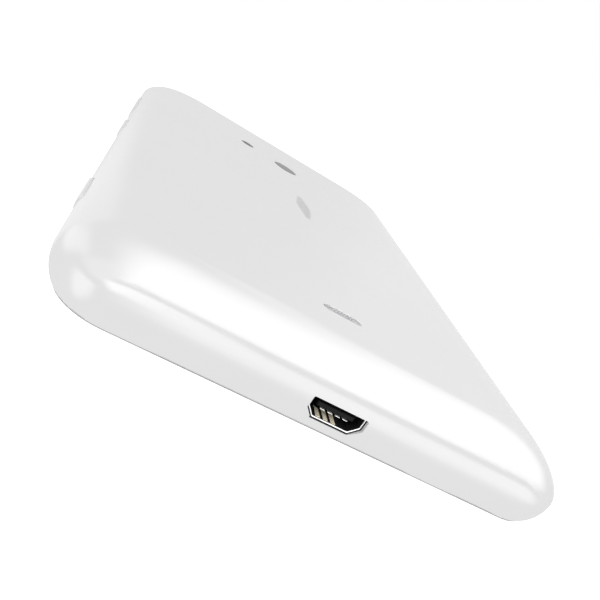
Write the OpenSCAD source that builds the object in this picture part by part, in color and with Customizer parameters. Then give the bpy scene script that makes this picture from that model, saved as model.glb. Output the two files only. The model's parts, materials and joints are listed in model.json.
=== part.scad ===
// Bluetooth audio receiver: a slim battery box that takes music over a radio link
// and plays it through an audio jack. Millimetres, +Z up, origin at the middle of
// the pad's underside. -Y is the charging end, +Y the audio end, -X the key side.

/* [Body] */
// Width across the widest line of the sides
body_w = 73.6; // [72:0.2:80]
// Length from the charging end to the audio end
body_l = 132.4; // [131:0.2:140]
// Height of the top face above the pad's underside
body_h = 10.8; // [10.8:0.1:12]
// Corner radius in plan, at the widest line
corner_r = 8.6; // [8:0.1:10]
// Height of the widest line of the sides
waist_z = 5.2; // [5.1:0.1:5.4]
// How far in from the sides the crown's rounding reaches
crown_in = 9.4; // [8.8:0.1:10]
// Fullness of the crown's rounding, where 1 is an ellipse
crown_power = 1.1; // [1:0.05:1.2]
// How far in the lower rounding would reach at the floor
tuck_in = 4.2; // [3.6:0.1:4.4]
// Height of the cover's lower lip
lip_z = 1.0; // [0.9:0.05:1.1]

/* [Walls] */
// Thickness of the cover's roof
roof_t = 1.2; // [1:0.1:1.4]
// Thickness of the cover's side wall at its widest line
side_t = 1.8; // [1.6:0.1:2]
// Thickness of the non-slip pad
pad_t = 0.3; // [0.2:0.05:0.35]
// Thickness of the base plate's floor
floor_t = 0.8; // [0.6:0.1:0.9]
// Thickness of the seam gasket
gasket_t = 0.15; // [0.1:0.05:0.2]

/* [Charging port] */
// Width of the port's opening
port_w = 7.0; // [6.8:0.1:7.2]
// Height of the port's opening
port_h = 2.4; // [2.2:0.1:2.5]
// Height of the opening's lower edge
port_z = 3.15; // [3.1:0.05:3.2]
// Sheet thickness of the port's metal shell
port_sheet = 0.25; // [0.2:0.05:0.3]
// Distance between the port's contacts
contact_pitch = 1.06; // [0.9:0.02:1.1]

/* [Audio jack] */
// Radius of the jack's bore
jack_r = 1.8; // [1.77:0.01:1.9]
// Length of the jack's bore
jack_len = 14; // [12:0.5:14.5]
// Sideways place of the jack
jack_x = 18; // [12:1:20]

/* [Keys] */
// Height of the key faces
key_h = 2.6; // [2.4:0.1:2.8]
// How far the keys stand out of the side
key_proud = 0.25; // [0.15:0.05:0.3]
// Gap round each key in its slot
key_gap = 0.15; // [0.12:0.01:0.2]
// Length of the volume rocker
rocker_len = 17; // [16:0.5:19]
// Length of the power key
power_len = 8.5; // [7.5:0.5:11]
// Length of the play key
play_len = 10; // [8:0.5:12]
// Radius of the rocker's hinge pin
pin_r = 0.4; // [0.35:0.05:0.45]

/* [Window and marks] */
// Diameter of the dark status window
window_d = 5.9; // [5:0.1:6.5]
// Diameter of the dark microphone insert
mic_d = 3.2; // [2.8:0.1:3.6]
// Length of the sounder's grille
grille_len = 6; // [5:0.5:7]
// Width of the sounder's grille
grille_w = 1.8; // [1.6:0.1:2]
// Number of bars in the printed level mark
mark_bars = 9; // [5:2:11]

/* [Battery] */
// Width of the battery cell
cell_w = 50; // [40:1:50]
// Length of the battery cell
cell_l = 54; // [44:1:54]
// Thickness of the battery cell
cell_t = 5; // [4:0.5:6]

/* [Hidden] */

$fn = 48;

// Outer skin
corner_steps = 9;
crown_steps = 11;
tuck_steps = 5;
min_ring_r = 0.5;
crown_h = body_h - waist_z;
// The rings keep most of the corner radius as they step in
corner_fade = 0.2;

// Heights of the stack
base_z = pad_t;
base_top = base_z + floor_t;
board_t = 1.0;
board_z = port_z - port_sheet;
board_low = board_z - board_t;
roof_z = body_h - roof_t;

// Charging port
port_y = -body_l / 2 + 0.5;
port_depth = 5.6;
port_flat = 1.1;
port_narrow = 1.05;
contact_w = 0.7;
contact_n = 4;

// Audio jack
jack_mouth = body_l / 2 - 0.1;
jack_z = 5.35;
ferrule_r = 2.6;
ferrule_len = 3.8;
jack_block_w = 6.4;
jack_back = 1.4;

// Keys: the faces and everything behind them are placed from the side's widest line
side_x = -body_w / 2;
key_face = side_x - key_proud;
pocket_x = side_x + 1.6;
flange_t = 0.5;
flange_x = pocket_x + 0.1;
rocker_flange_x = pocket_x + 0.35;
flange_out = 0.35;
nub_r = 0.8;
nub_x = side_x + 2.9;
plunger_x = nub_x + 0.06;
switch_x = side_x + 3.4;
switch_t = 1.4;
key_board_x = switch_x + switch_t;
key_board_t = 0.6;
bracket_t = 0.3;
key_z = 5.2;
rocker_y = 34.3;
power_y = 8.7;
play_y = -38.5;
rocker_arm = 6;
pin_x = side_x + 3.2;
pin_half = 1.8;
pin_gap = 0.04;
key_board_y0 = -46;
key_board_y1 = 48.5;

// Boards, battery and what stands on them
board_x0 = -28.5;
board_x1 = 32.2;
power_y0 = -63.2;
power_y1 = -36.5;
audio_y0 = 25.5;
audio_y1 = 61.5;
cell_y = -5.5;
cell_z = base_top + 0.3;
frame_t = 1.2;
window_y = 34.1;
mic_x = -10.3;
mic_y = 36.8;
grille_y = -49.6;
mark_x = 0.9;
mark_y = 2.8;
mark_len = 15;
mark_w = 3.2;
mark_film = 0.02;
boss_x = 27.5;
boss_y = 55.6;
boss_r = 2.3;

// ---------------------------------------------------------------- outlines

function corner_arc(cx, cy, r, start) =
    [for (i = [0 : corner_steps]) [cx + r * cos(start + 90 * i / corner_steps),
                                   cy + r * sin(start + 90 * i / corner_steps)]];

// Rounded rectangle with its four corners as arcs, half sizes hw and hl
function rounded_ring(hw, hl, r) = concat(
    corner_arc(hw - r, hl - r, r, 0), corner_arc(r - hw, hl - r, r, 90),
    corner_arc(r - hw, r - hl, r, 180), corner_arc(hw - r, r - hl, r, 270));

// One level of the skin: [height, distance in from the widest line, corner radius]
function crown_level(a) = [
    body_h - crown_h * (1 - pow(cos(a), crown_power)),
    crown_in * (1 - pow(sin(a), crown_power)),
    corner_r - corner_fade * crown_in * (1 - pow(sin(a), crown_power))];
function tuck_inset(z) = tuck_in * (1 - sqrt(1 - pow((waist_z - z) / waist_z, 2)));
function tuck_level(z) = [z, tuck_inset(z), corner_r - tuck_inset(z)];

function outer_levels() = concat(
    [for (i = [0 : tuck_steps - 1]) tuck_level(lip_z + (waist_z - lip_z) * i / tuck_steps)],
    [for (i = [0 : crown_steps]) crown_level(90 - 90 * i / crown_steps)]);

lip_wall = 1.1;
// The cavity follows the skin at the side wall's thickness and stops under the roof
function cavity_crown(a) = [
    roof_z - (roof_z - waist_z) * (1 - pow(cos(a), crown_power)),
    side_t + (crown_in - 1) * (1 - pow(sin(a), crown_power)),
    max(min_ring_r, corner_r - side_t - corner_fade * crown_in * (1 - pow(sin(a), crown_power)))];
function cavity_levels() = concat(
    [[lip_z - 1, tuck_inset(lip_z) + lip_wall, corner_r - tuck_inset(lip_z) - lip_wall],
     [lip_z + 1.2, tuck_inset(lip_z) + lip_wall, corner_r - tuck_inset(lip_z) - lip_wall],
     [lip_z + 2.2, side_t, corner_r - side_t]],
    [for (i = [0 : 5]) cavity_crown(90 - 18 * i)]);

// Closed solid through rings of equal point count, lowest first
module loft(levels) {
    n = 4 * (corner_steps + 1);
    m = len(levels);
    points = [for (v = levels) for (p = rounded_ring(body_w / 2 - v[1], body_l / 2 - v[1], v[2]))
        [p[0], p[1], v[0]]];
    bottom = [[for (j = [0 : n - 1]) j]];
    top = [[for (j = [n - 1 : -1 : 0]) (m - 1) * n + j]];
    sides = [for (i = [0 : m - 2]) for (j = [0 : n - 1])
        [i * n + j, (i + 1) * n + j, (i + 1) * n + (j + 1) % n, i * n + (j + 1) % n]];
    polyhedron(points, concat(bottom, top, sides), convexity = 6);
}

// Rounded rectangle as exact arcs, full sizes w and l
module plan(w, l, r) {
    square([w - 2 * r, l], center = true);
    square([w, l - 2 * r], center = true);
    for (sx = [-1, 1], sy = [-1, 1])
        translate([sx * (w / 2 - r), sy * (l / 2 - r)]) circle(r);
}

// Pill outline of full length l along X and width w
module pill(l, w) {
    square([l - w, w], center = true);
    for (s = [-1, 1]) translate([s * (l - w) / 2, 0]) circle(w / 2);
}

// Plate of the given outline from height z0 to z1
module plate(z0, z1) {
    translate([0, 0, z0]) linear_extrude(z1 - z0) children();
}

// Box between two corners
module block(lo, hi) {
    translate(lo) cube(hi - lo);
}

// Upright round post
module post(x, y, z0, z1, r) {
    translate([x, y, z0]) cylinder(h = z1 - z0, r = r);
}

// Outline drawn in Y and Z, extruded along +X from x0 to x1
module along_x(x0, x1) {
    translate([x0, 0, 0]) rotate([90, 0, 90]) linear_extrude(x1 - x0) children();
}

// Outline drawn in X and Z, extruded along +Y from y0 to y1
module along_y(y0, y1) {
    translate([0, y1, 0]) rotate([90, 0, 0]) linear_extrude(y1 - y0) children();
}

// Round bar along +Y
module bar_y(x, z, y0, y1, r) {
    translate([x, y0, z]) rotate([-90, 0, 0]) cylinder(h = y1 - y0, r = r);
}

// Chip package with its pin rows along two sides
module chip(x, y, z, w, l, t, pins) {
    block([x - w / 2, y - l / 2, z + 0.1], [x + w / 2, y + l / 2, z + t]);
    for (i = [0 : pins - 1], s = [-1, 1])
        translate([x + s * (w / 2 + 0.25), y + (i - (pins - 1) / 2) * l / (pins + 0.5), z + 0.15])
            cube([0.6, 0.3, 0.3], center = true);
}

module at_bosses() {
    for (sx = [-1, 1], sy = [-1, 1]) translate([sx * boss_x, sy * boss_y, 0]) children();
}

// ---------------------------------------------------------------- casing

boss_low = base_top + 1.2;

// Six-sided outline of the port's opening, grown outwards by g
module port_outline(g) {
    polygon([[-port_w / 2 - g, port_z + port_h + g], [port_w / 2 + g, port_z + port_h + g],
             [port_w / 2 + g, port_z + port_flat - g * 0.4],
             [port_w / 2 - port_narrow + g * 0.4, port_z - g],
             [-port_w / 2 + port_narrow - g * 0.4, port_z - g],
             [-port_w / 2 - g, port_z + port_flat - g * 0.4]]);
}

module key_slot(y, length) {
    translate([0, y, key_z]) along_x(side_x - 1, pocket_x + 1)
        pill(length + 2 * key_gap, key_h + 2 * key_gap);
    translate([0, y, key_z]) along_x(pocket_x, side_x + 6)
        pill(length + 2 * flange_out + 0.6, key_h + 2 * flange_out + 0.4);
}

module top_cover() {
    color("white") {
        difference() {
            loft(outer_levels());
            loft(cavity_levels());
            key_slot(rocker_y, rocker_len);
            key_slot(power_y, power_len);
            key_slot(play_y, play_len);
            along_y(-body_l / 2 - 1, -body_l / 2 + side_t + 1) port_outline(port_sheet + 0.15);
            bar_y(jack_x, jack_z, jack_mouth - ferrule_len - 1, body_l / 2 + 1, ferrule_r + 0.1);
            post(0, window_y, body_h - 0.6, body_h + 1, window_d / 2 + 0.03);
            post(0, window_y, roof_z - 1, body_h + 1, window_d / 2 - 0.7);
            post(mic_x, mic_y, body_h - 0.5, body_h + 1, mic_d / 2 + 0.03);
            post(mic_x, mic_y, roof_z - 1, body_h + 1, 0.6);
            translate([0, grille_y, 0]) plate(body_h - 0.5, body_h + 1)
                pill(grille_len + 0.06, grille_w + 0.06);
            translate([0, grille_y, 0]) plate(roof_z - 1, body_h + 1)
                pill(grille_len - 0.6, grille_w - 0.6);
        }
        // Screw bosses that hang from the roof
        difference() {
            at_bosses() post(0, 0, boss_low, roof_z + 0.3, boss_r);
            at_bosses() post(0, 0, boss_low - 1, boss_low + 4.2, 0.8);
        }
    }
}

gasket_z = lip_z - gasket_t;

module seam_gasket() {
    color("dimgray") plate(gasket_z, lip_z) difference() {
        plan(body_w - 2 * tuck_inset(lip_z) - 0.1, body_l - 2 * tuck_inset(lip_z) - 0.1,
             corner_r - tuck_inset(lip_z));
        plan(body_w - 2 * tuck_inset(lip_z) - 2, body_l - 2 * tuck_inset(lip_z) - 2,
             corner_r - tuck_inset(lip_z) - 0.95);
    }
}

skirt_in = 1.0;
upstand_in = 3.1;
upstand_t = 0.9;
upstand_h = 0.7;

module base_plate() {
    edge = tuck_inset(lip_z) + 0.3;
    color("white") difference() {
        union() {
            loft([[base_z, edge + skirt_in, corner_r - edge - skirt_in],
                  [gasket_z, edge, corner_r - edge]]);
            plate(base_z + 0.1, base_top) plan(body_w - 2 * upstand_in, body_l - 2 * upstand_in,
                                               corner_r - upstand_in);
            // Upstand that locates the plate inside the cover
            plate(base_z + 0.1, base_top + upstand_h) difference() {
                plan(body_w - 2 * upstand_in, body_l - 2 * upstand_in, corner_r - upstand_in);
                plan(body_w - 2 * upstand_in - 2 * upstand_t, body_l - 2 * upstand_in - 2 * upstand_t,
                     corner_r - upstand_in - upstand_t);
            }
            at_bosses() post(0, 0, base_z, boss_low - 0.05, 3.2);
            // Rests for the two circuit boards
            for (x = [-22, 0, 22], y = [power_y0 + 7, power_y1 - 3, audio_y0 + 3, audio_y1 - 9])
                post(x, y, base_z + 0.1, board_low, 1.5);
        }
        at_bosses() post(0, 0, base_z - 1, base_z + 0.95, 2.0);
        at_bosses() post(0, 0, base_z - 1, boss_low + 1, 1.1);
        for (x = [-22, 22], y = [power_y1 - 3, audio_y0 + 3])
            post(x, y, base_z + 0.5, board_low + 1, 0.55);
    }
}

pad_in = 5;

module base_pad() {
    color("gainsboro") plate(0, pad_t)
        plan(body_w - 2 * pad_in, body_l - 2 * pad_in, corner_r - 3);
}

module case_screws() {
    color("silver") at_bosses() {
        difference() {
            post(0, 0, base_z + 0.05, base_z + 0.93, 1.8);
            for (a = [0, 90]) rotate([0, 0, a])
                translate([0, 0, base_z + 0.2]) cube([1.8, 0.4, 0.5], center = true);
        }
        post(0, 0, base_z + 0.9, boss_low + 3.8, 0.8);
    }
}

// ---------------------------------------------------------------- window, grille and mark

module status_window() {
    color("dimgray") post(0, window_y, body_h - 0.6, body_h, window_d / 2);
}

module window_tape() {
    color("black") difference() {
        post(0, window_y, roof_z - 0.15, roof_z, window_d / 2);
        post(0, window_y, roof_z - 1, roof_z + 1, window_d / 2 - 0.7);
    }
}

module mic_insert() {
    color("dimgray") difference() {
        post(mic_x, mic_y, body_h - 0.5, body_h, mic_d / 2);
        for (a = [0 : 60 : 300]) translate([mic_x, mic_y, 0]) rotate([0, 0, a])
            post(0.75, 0, body_h - 1, body_h + 1, 0.15);
        post(mic_x, mic_y, body_h - 1, body_h + 1, 0.15);
    }
}

capsule_top = board_z + 1.5;

module mic_boot() {
    color("black") difference() {
        post(mic_x, mic_y, capsule_top - 0.6, roof_z, 2.6);
        post(mic_x, mic_y, capsule_top - 1, roof_z + 1, 0.6);
        post(mic_x, mic_y, capsule_top - 1, capsule_top, 2.0);
    }
}

module mic_capsule() {
    color("silver") difference() {
        post(mic_x, mic_y, board_z, capsule_top, 2.0);
        post(mic_x, mic_y, capsule_top - 0.3, capsule_top + 1, 0.5);
    }
}

module sounder_grille() {
    color("silver") difference() {
        translate([0, grille_y, 0]) plate(body_h - 0.5, body_h) pill(grille_len, grille_w);
        for (i = [-3 : 3], j = [-0.5, 0.5])
            post(i * 0.72, grille_y + j * 0.72, body_h - 1, body_h + 1, 0.18);
    }
}

sounder_top = roof_z - 1.2;

module sounder_foam() {
    color("black") difference() {
        post(0, grille_y, sounder_top, roof_z, 3.8);
        translate([0, grille_y, 0]) plate(sounder_top - 1, roof_z + 1)
            pill(grille_len - 0.4, grille_w);
    }
}

module sounder() {
    color("black") difference() {
        post(0, grille_y, board_z, sounder_top, 4.5);
        post(0, grille_y, sounder_top - 0.6, sounder_top + 1, 0.8);
    }
    color("gold") for (s = [-1, 1])
        block([s * 5.2 - 0.8, grille_y - 0.6, board_z], [s * 5.2 + 0.8, grille_y + 0.6, board_z + 0.3]);
}

// Row of level bars, longest in the middle, printed on the roof
module printed_mark() {
    pitch = mark_len / mark_bars;
    color("lightgray") for (i = [0 : mark_bars - 1]) {
        y = (i - (mark_bars - 1) / 2) * pitch;
        w = mark_w * (0.35 + 0.65 * pow(cos(80 * y / (mark_len / 2)), 2));
        translate([mark_x, mark_y + y, 0]) plate(body_h, body_h + mark_film)
            pill(w, pitch * 0.5);
    }
}

// ---------------------------------------------------------------- boards

module board_screw_places() {
    for (x = [-22, 22], y = [power_y1 - 3, audio_y0 + 3]) translate([x, y, 0]) children();
}

module power_board() {
    color("darkgreen") difference() {
        plate(board_low, board_z) difference() {
            translate([(board_x0 + board_x1) / 2, (power_y0 + power_y1) / 2])
                plan(board_x1 - board_x0, power_y1 - power_y0, 2);
            for (s = [-1, 1]) translate([s * boss_x, -boss_y]) circle(4);
            for (s = [-1, 1]) translate([s * (boss_x + 4), -boss_y - 4]) square(10, center = true);
        }
        board_screw_places() post(0, 0, board_low - 1, board_z + 1, 0.9);
    }
}

module audio_board() {
    color("darkgreen") difference() {
        plate(board_low, board_z) difference() {
            translate([(board_x0 + board_x1) / 2, (audio_y0 + audio_y1) / 2])
                plan(board_x1 - board_x0, audio_y1 - audio_y0, 2);
            for (s = [-1, 1]) translate([s * boss_x, boss_y]) circle(4);
            for (s = [-1, 1]) translate([s * (boss_x + 4), boss_y + 4]) square(10, center = true);
        }
        board_screw_places() post(0, 0, board_low - 1, board_z + 1, 0.9);
    }
}

module board_screws() {
    color("silver") board_screw_places() {
        difference() {
            post(0, 0, board_z, board_z + 0.8, 1.4);
            for (a = [0, 90]) rotate([0, 0, a])
                translate([0, 0, board_z + 0.8]) cube([1.5, 0.35, 0.6], center = true);
        }
        post(0, 0, base_z + 0.7, board_z + 0.1, 0.55);
    }
}

ribbon_x = 28.8;
ribbon_w = 4;
ribbon_t = 0.2;
socket_h = 1.2;

module link_ribbon() {
    z = board_z + 0.5;
    color("orange") block([ribbon_x - ribbon_w / 2, power_y1 - 4, z],
                          [ribbon_x + ribbon_w / 2, audio_y0 + 4, z + ribbon_t]);
}

module ribbon_sockets() {
    color("ivory") for (y = [power_y1 - 5, audio_y0 + 5]) difference() {
        block([ribbon_x - ribbon_w / 2 - 0.9, y - 1.6, board_z],
              [ribbon_x + ribbon_w / 2 + 0.9, y + 1.6, board_z + socket_h]);
        block([ribbon_x - ribbon_w / 2 - 0.1, min(y, y - sign(y) * 5), board_z + 0.45],
              [ribbon_x + ribbon_w / 2 + 0.1, max(y, y - sign(y) * 5) + 0.7, board_z + 0.75]);
    }
}

// ---------------------------------------------------------------- charging port

module usb_shell() {
    y1 = port_y + port_depth;
    color("silver") {
        difference() {
            along_y(port_y, y1) port_outline(port_sheet);
            along_y(port_y - 1, y1 + 1) port_outline(0);
        }
        // Mounting ears soldered to the board
        for (s = [-1, 1]) block([s * (port_w / 2 + 0.7) - 0.6, port_y + 2.6, board_z],
                                [s * (port_w / 2 + 0.7) + 0.6, port_y + 4.4, board_z + 0.25]);
        for (s = [-1, 1]) block([s * (port_w / 2 + 0.225) - 0.125, port_y + 2.6, board_z],
                                [s * (port_w / 2 + 0.225) + 0.125, port_y + 4.4, port_z + 1.6]);
    }
}

tongue_z0 = port_z + 1.15;
tongue_z1 = port_z + 1.85;
tongue_w = 5.2;
tongue_y = port_y + 0.5;

module usb_tongue() {
    color("black") {
        block([-tongue_w / 2, tongue_y, tongue_z0],
              [tongue_w / 2, port_y + port_depth - 0.6, tongue_z1]);
        along_y(port_y + port_depth - 1, port_y + port_depth) port_outline(-0.02);
    }
}

module usb_contacts() {
    color("gold") for (i = [0 : contact_n - 1]) {
        x = (i - (contact_n - 1) / 2) * contact_pitch;
        block([x - contact_w / 2, tongue_y - 0.03, tongue_z0 - 0.14],
              [x + contact_w / 2, port_y + port_depth - 1, tongue_z0]);
        // Solder tail behind the shell
        block([x - contact_w / 4, port_y + port_depth, board_z],
              [x + contact_w / 4, port_y + port_depth + 0.8, board_z + 0.15]);
    }
}

strip_w = 0.64;
strip_x0 = -1.7;

module usb_floor_strips() {
    color("gold") for (i = [0 : 2]) {
        x = strip_x0 + i * contact_pitch;
        block([x - strip_w / 2, port_y + 0.15, port_z],
              [x + strip_w / 2, port_y + 2.4, port_z + 0.1]);
    }
}

// ---------------------------------------------------------------- audio jack

module jack_housing() {
    y0 = jack_mouth - jack_len - jack_back;
    y1 = jack_mouth - ferrule_len;
    color("black") difference() {
        union() {
            block([jack_x - jack_block_w / 2, y0, board_z],
                  [jack_x + jack_block_w / 2, y1 - 0.7, jack_z + 2.3]);
            bar_y(jack_x, jack_z, y1 - 0.7, y1, ferrule_r - 0.15);
        }
        bar_y(jack_x, jack_z, jack_mouth - jack_len, y1 + 1, jack_r);
        // Seats for the contact springs, clear of the bore
        for (i = [0 : 2], s = [-1, 1])
            block([jack_x + s * 3.0 - 0.21, y0 + 2.2 + i * 3.6, board_z - 1],
                  [jack_x + s * 3.0 + 0.21, y0 + 3.4 + i * 3.6, jack_z + 1.2]);
    }
}

module jack_ferrule() {
    color("silver") difference() {
        bar_y(jack_x, jack_z, jack_mouth - ferrule_len, jack_mouth, ferrule_r);
        bar_y(jack_x, jack_z, jack_mouth - ferrule_len - 1, jack_mouth + 1, jack_r);
    }
}

module jack_springs() {
    y0 = jack_mouth - jack_len - jack_back;
    color("gold") for (i = [0 : 2], s = [-1, 1]) {
        y = y0 + 2.4 + i * 3.6;
        block([jack_x + s * 3.0 - 0.1, y, board_z], [jack_x + s * 3.0 + 0.1, y + 0.8, jack_z + 1]);
        block([jack_x + s * 3.5 - 0.6, y, board_z], [jack_x + s * 3.5 + 0.6, y + 0.8, board_z + 0.15]);
    }
}

// ---------------------------------------------------------------- battery

module battery_frame() {
    w = cell_w + 0.6;
    l = cell_l + 0.6;
    color("white") difference() {
        translate([0, cell_y, 0]) plate(base_top, base_top + cell_t + 0.2) difference() {
            plan(w + 2 * frame_t, l + 2 * frame_t, 2);
            plan(w, l, 1);
        }
        block([-6, cell_y - l / 2 - frame_t - 1, base_top + 1.5],
              [6, cell_y - l / 2 + 1, base_top + cell_t + 1]);
    }
}

module battery_cell() {
    color("silver") {
        translate([0, cell_y, 0]) plate(cell_z, cell_z + cell_t)
            plan(cell_w, cell_l - 4, 1.5);
        block([-cell_w / 2 + 2, cell_y - cell_l / 2, cell_z + 0.8],
              [cell_w / 2 - 2, cell_y - cell_l / 2 + 3, cell_z + cell_t - 1.2]);
    }
}

module battery_tape() {
    color("ivory") block([-cell_w / 2 + 4, cell_y - cell_l / 2 + 6, base_top],
                         [cell_w / 2 - 4, cell_y + cell_l / 2 - 6, cell_z]);
}

lead_z = board_z + 1.0;
plug_y = power_y1 - 4.6;

module battery_leads() {
    for (s = [-1, 1]) color(s < 0 ? "black" : "red")
        bar_y(s * 0.9, lead_z, plug_y + 1.6, cell_y - cell_l / 2, 0.5);
}

module battery_plug() {
    color("ivory") difference() {
        block([-2.4, plug_y - 1.2, board_z + 0.45], [2.4, plug_y + 1.6, board_z + 1.75]);
        for (s = [-1, 1]) bar_y(s * 0.9, lead_z, plug_y - 2, plug_y - 0.2, 0.4);
    }
}

module battery_socket() {
    color("ivory") difference() {
        block([-3.2, plug_y - 2.2, board_z], [3.2, plug_y + 1.4, board_z + 2.1]);
        block([-2.5, plug_y - 1.3, board_z + 0.4], [2.5, plug_y + 3, board_z + 1.8]);
    }
    color("gold") for (s = [-1, 1]) bar_y(s * 0.9, lead_z, plug_y - 2.3, plug_y - 0.4, 0.3);
}

// ---------------------------------------------------------------- chips and small parts

module charger_chip() {
    color("dimgray") chip(-14, -52, board_z, 4, 4, 0.9, 4);
}

module power_inductor() {
    color("gray") difference() {
        block([-23.5, -54.5, board_z], [-18.5, -49.5, board_z + 2]);
        post(-21, -52, board_z + 1.6, board_z + 3, 1.6);
    }
    color("chocolate") post(-21, -52, board_z + 1.6, board_z + 1.9, 1.4);
}

shield_lo = [-22, 42];
shield_hi = [-6, 57];

module radio_shield() {
    color("silver") difference() {
        block([shield_lo[0], shield_lo[1], board_z], [shield_hi[0], shield_hi[1], board_z + 2.2]);
        block([shield_lo[0] + 0.25, shield_lo[1] + 0.25, board_z - 1],
              [shield_hi[0] - 0.25, shield_hi[1] - 0.25, board_z + 1.95]);
    }
}

module radio_chip() {
    color("dimgray") chip(-16, 50, board_z, 6, 6, 1, 6);
}

module clock_crystal() {
    color("silver") block([-10.6, 48.4, board_z], [-7.4, 50.9, board_z + 0.8]);
}

module audio_converter() {
    color("dimgray") chip(3, 54, board_z, 5, 5, 0.9, 5);
}

module headphone_amp() {
    color("dimgray") chip(8, 46, board_z, 3, 3, 0.8, 4);
}

module antenna() {
    color("ivory") block([-5, 59, board_z], [2, 61, board_z + 1.2]);
    color("silver") for (x = [-5.3, 2.3])
        block([x - 0.3, 59, board_z], [x + 0.3, 61, board_z + 1]);
}

module board_capacitors() {
    color("tan") {
        for (i = [0 : 4]) block([10 + i * 2.4, -58, board_z], [11.2 + i * 2.4, -56, board_z + 0.9]);
        for (i = [0 : 4]) block([10 + i * 2.4, -54, board_z], [11 + i * 2.4, -52.4, board_z + 0.6]);
        for (i = [0 : 3]) block([3 + i * 2.2, 40, board_z], [4 + i * 2.2, 41.6, board_z + 0.6]);
        for (i = [0 : 3]) block([-21 + i * 2.2, 38, board_z], [-20 + i * 2.2, 39.6, board_z + 0.6]);
        for (i = [0 : 1]) block([9, 50 + i * 3, board_z], [12.4, 52 + i * 3, board_z + 1.6]);
    }
}

led_top = board_z + 0.8;

module status_led() {
    color("lightyellow") block([-0.8, window_y - 0.4, board_z], [0.8, window_y + 0.4, led_top]);
}

// Clear guide that carries the light up to the window
module light_pipe() {
    color("aliceblue") difference() {
        union() {
            post(0, window_y, led_top + 0.1, roof_z + 0.4, 1.5);
            post(0, window_y, roof_z - 0.8, roof_z - 0.2, 3.4);
            for (a = [0, 180]) translate([0, window_y, 0]) rotate([0, 0, a])
                block([2.4, -0.6, board_z], [3.4, 0.6, roof_z - 0.3]);
        }
        post(0, window_y, led_top - 1, led_top + 0.6, 1.1);
    }
}

// ---------------------------------------------------------------- side keys

module at_switches() {
    for (y = [rocker_y + rocker_arm, rocker_y - rocker_arm, power_y, play_y])
        translate([0, y, 0]) children();
}

key_board_z0 = board_z + 0.1;
key_board_z1 = key_z + 2.3;

ear_t = 0.3;
ear_zs = [key_z - pin_half, key_z + pin_half - ear_t];
ear_w = 2.2;

module key_board() {
    color("darkgreen") difference() {
        block([key_board_x, key_board_y0, key_board_z0],
              [key_board_x + key_board_t, key_board_y1, key_board_z1]);
        // Slots that the bracket's ears pass through
        for (z = ear_zs) block([key_board_x - 1, rocker_y - ear_w / 2 - 0.1, z - 0.1],
                               [key_board_x + 1, rocker_y + ear_w / 2 + 0.1, z + ear_t + 0.1]);
    }
}

// Steel strip that backs the key board and holds the rocker's pin in two ears
module key_bracket() {
    x0 = key_board_x + key_board_t;
    color("silver") difference() {
        union() {
            block([x0, key_board_y0 + 1, base_top], [x0 + bracket_t, key_board_y1 - 1, key_board_z1]);
            for (z = ear_zs) block([pin_x - 0.65, rocker_y - ear_w / 2, z],
                                   [x0 + bracket_t, rocker_y + ear_w / 2, z + ear_t]);
            for (y = [key_board_y0 + 5, key_board_y1 - 5])
                block([x0, y - 2, base_top], [x0 + 2.4, y + 2, base_top + 0.3]);
        }
        post(pin_x, rocker_y, key_z - 3, key_z + 3, pin_r);
    }
}

switch_w = 4.4;
switch_h = 2.8;
plunger_r = 0.7;
plunger_foot = 1.0;

module key_switches() {
    color("black") at_switches() difference() {
        block([switch_x, -switch_w / 2, key_z - switch_h / 2],
              [key_board_x, switch_w / 2, key_z + switch_h / 2]);
        // Well for the plunger and its foot
        translate([0, 0, key_z]) along_x(switch_x - 1, switch_x + 0.9) circle(plunger_r + 0.1);
        translate([0, 0, key_z]) along_x(switch_x + 0.3, switch_x + 1.15) circle(plunger_foot + 0.1);
    }
}

module plunger(y) {
    color("ivory") translate([0, y, key_z]) {
        along_x(plunger_x, switch_x + 0.7) circle(plunger_r);
        along_x(switch_x + 0.55, switch_x + 0.8) circle(plunger_foot);
    }
}

module key_ribbon() {
    x = key_board_x + key_board_t + bracket_t;
    color("orange") {
        block([x, audio_y0 + 10, board_z + 0.9], [x + 0.15, audio_y0 + 14, board_z + 2.2]);
        block([x, audio_y0 + 10, board_z + 0.75], [board_x0 + 1.4, audio_y0 + 14, board_z + 0.9]);
    }
    color("ivory") block([board_x0 + 0.3, audio_y0 + 9.4, board_z],
                         [board_x0 + 2.3, audio_y0 + 14.6, board_z + 0.75]);
}

module rocker_pin() {
    color("silver") post(pin_x, rocker_y, key_z - pin_half, key_z + pin_half, pin_r);
}

// Key cap with its inner flange, face outwards along -X
module key_cap(y, length, flange) {
    translate([0, y, key_z]) {
        along_x(key_face, flange + flange_t / 2) pill(length, key_h);
        along_x(flange, flange + flange_t) pill(length + 2 * flange_out, key_h + 2 * flange_out);
    }
}

lug_r = 0.9;
lug_half = 1.35;

module volume_rocker() {
    color("whitesmoke") difference() {
        union() {
            key_cap(rocker_y, rocker_len, rocker_flange_x);
            for (s = [-1, 1]) translate([0, rocker_y + s * rocker_arm, key_z])
                along_x(rocker_flange_x + flange_t / 2, nub_x) circle(nub_r);
            // Lug round the hinge pin
            block([rocker_flange_x, rocker_y - lug_r, key_z - lug_half],
                  [pin_x, rocker_y + lug_r, key_z + lug_half]);
            post(pin_x, rocker_y, key_z - lug_half, key_z + lug_half, lug_r);
        }
        post(pin_x, rocker_y, key_z - 3, key_z + 3, pin_r + pin_gap);
    }
}

module volume_up_plunger() {
    plunger(rocker_y + rocker_arm);
}

module volume_down_plunger() {
    plunger(rocker_y - rocker_arm);
}

module push_key(y, length) {
    color("whitesmoke") {
        key_cap(y, length, flange_x);
        translate([0, y, key_z]) along_x(flange_x + flange_t / 2, plunger_x) circle(nub_r);
    }
}

module power_key() {
    push_key(power_y, power_len);
}

module power_plunger() {
    plunger(power_y);
}

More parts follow.
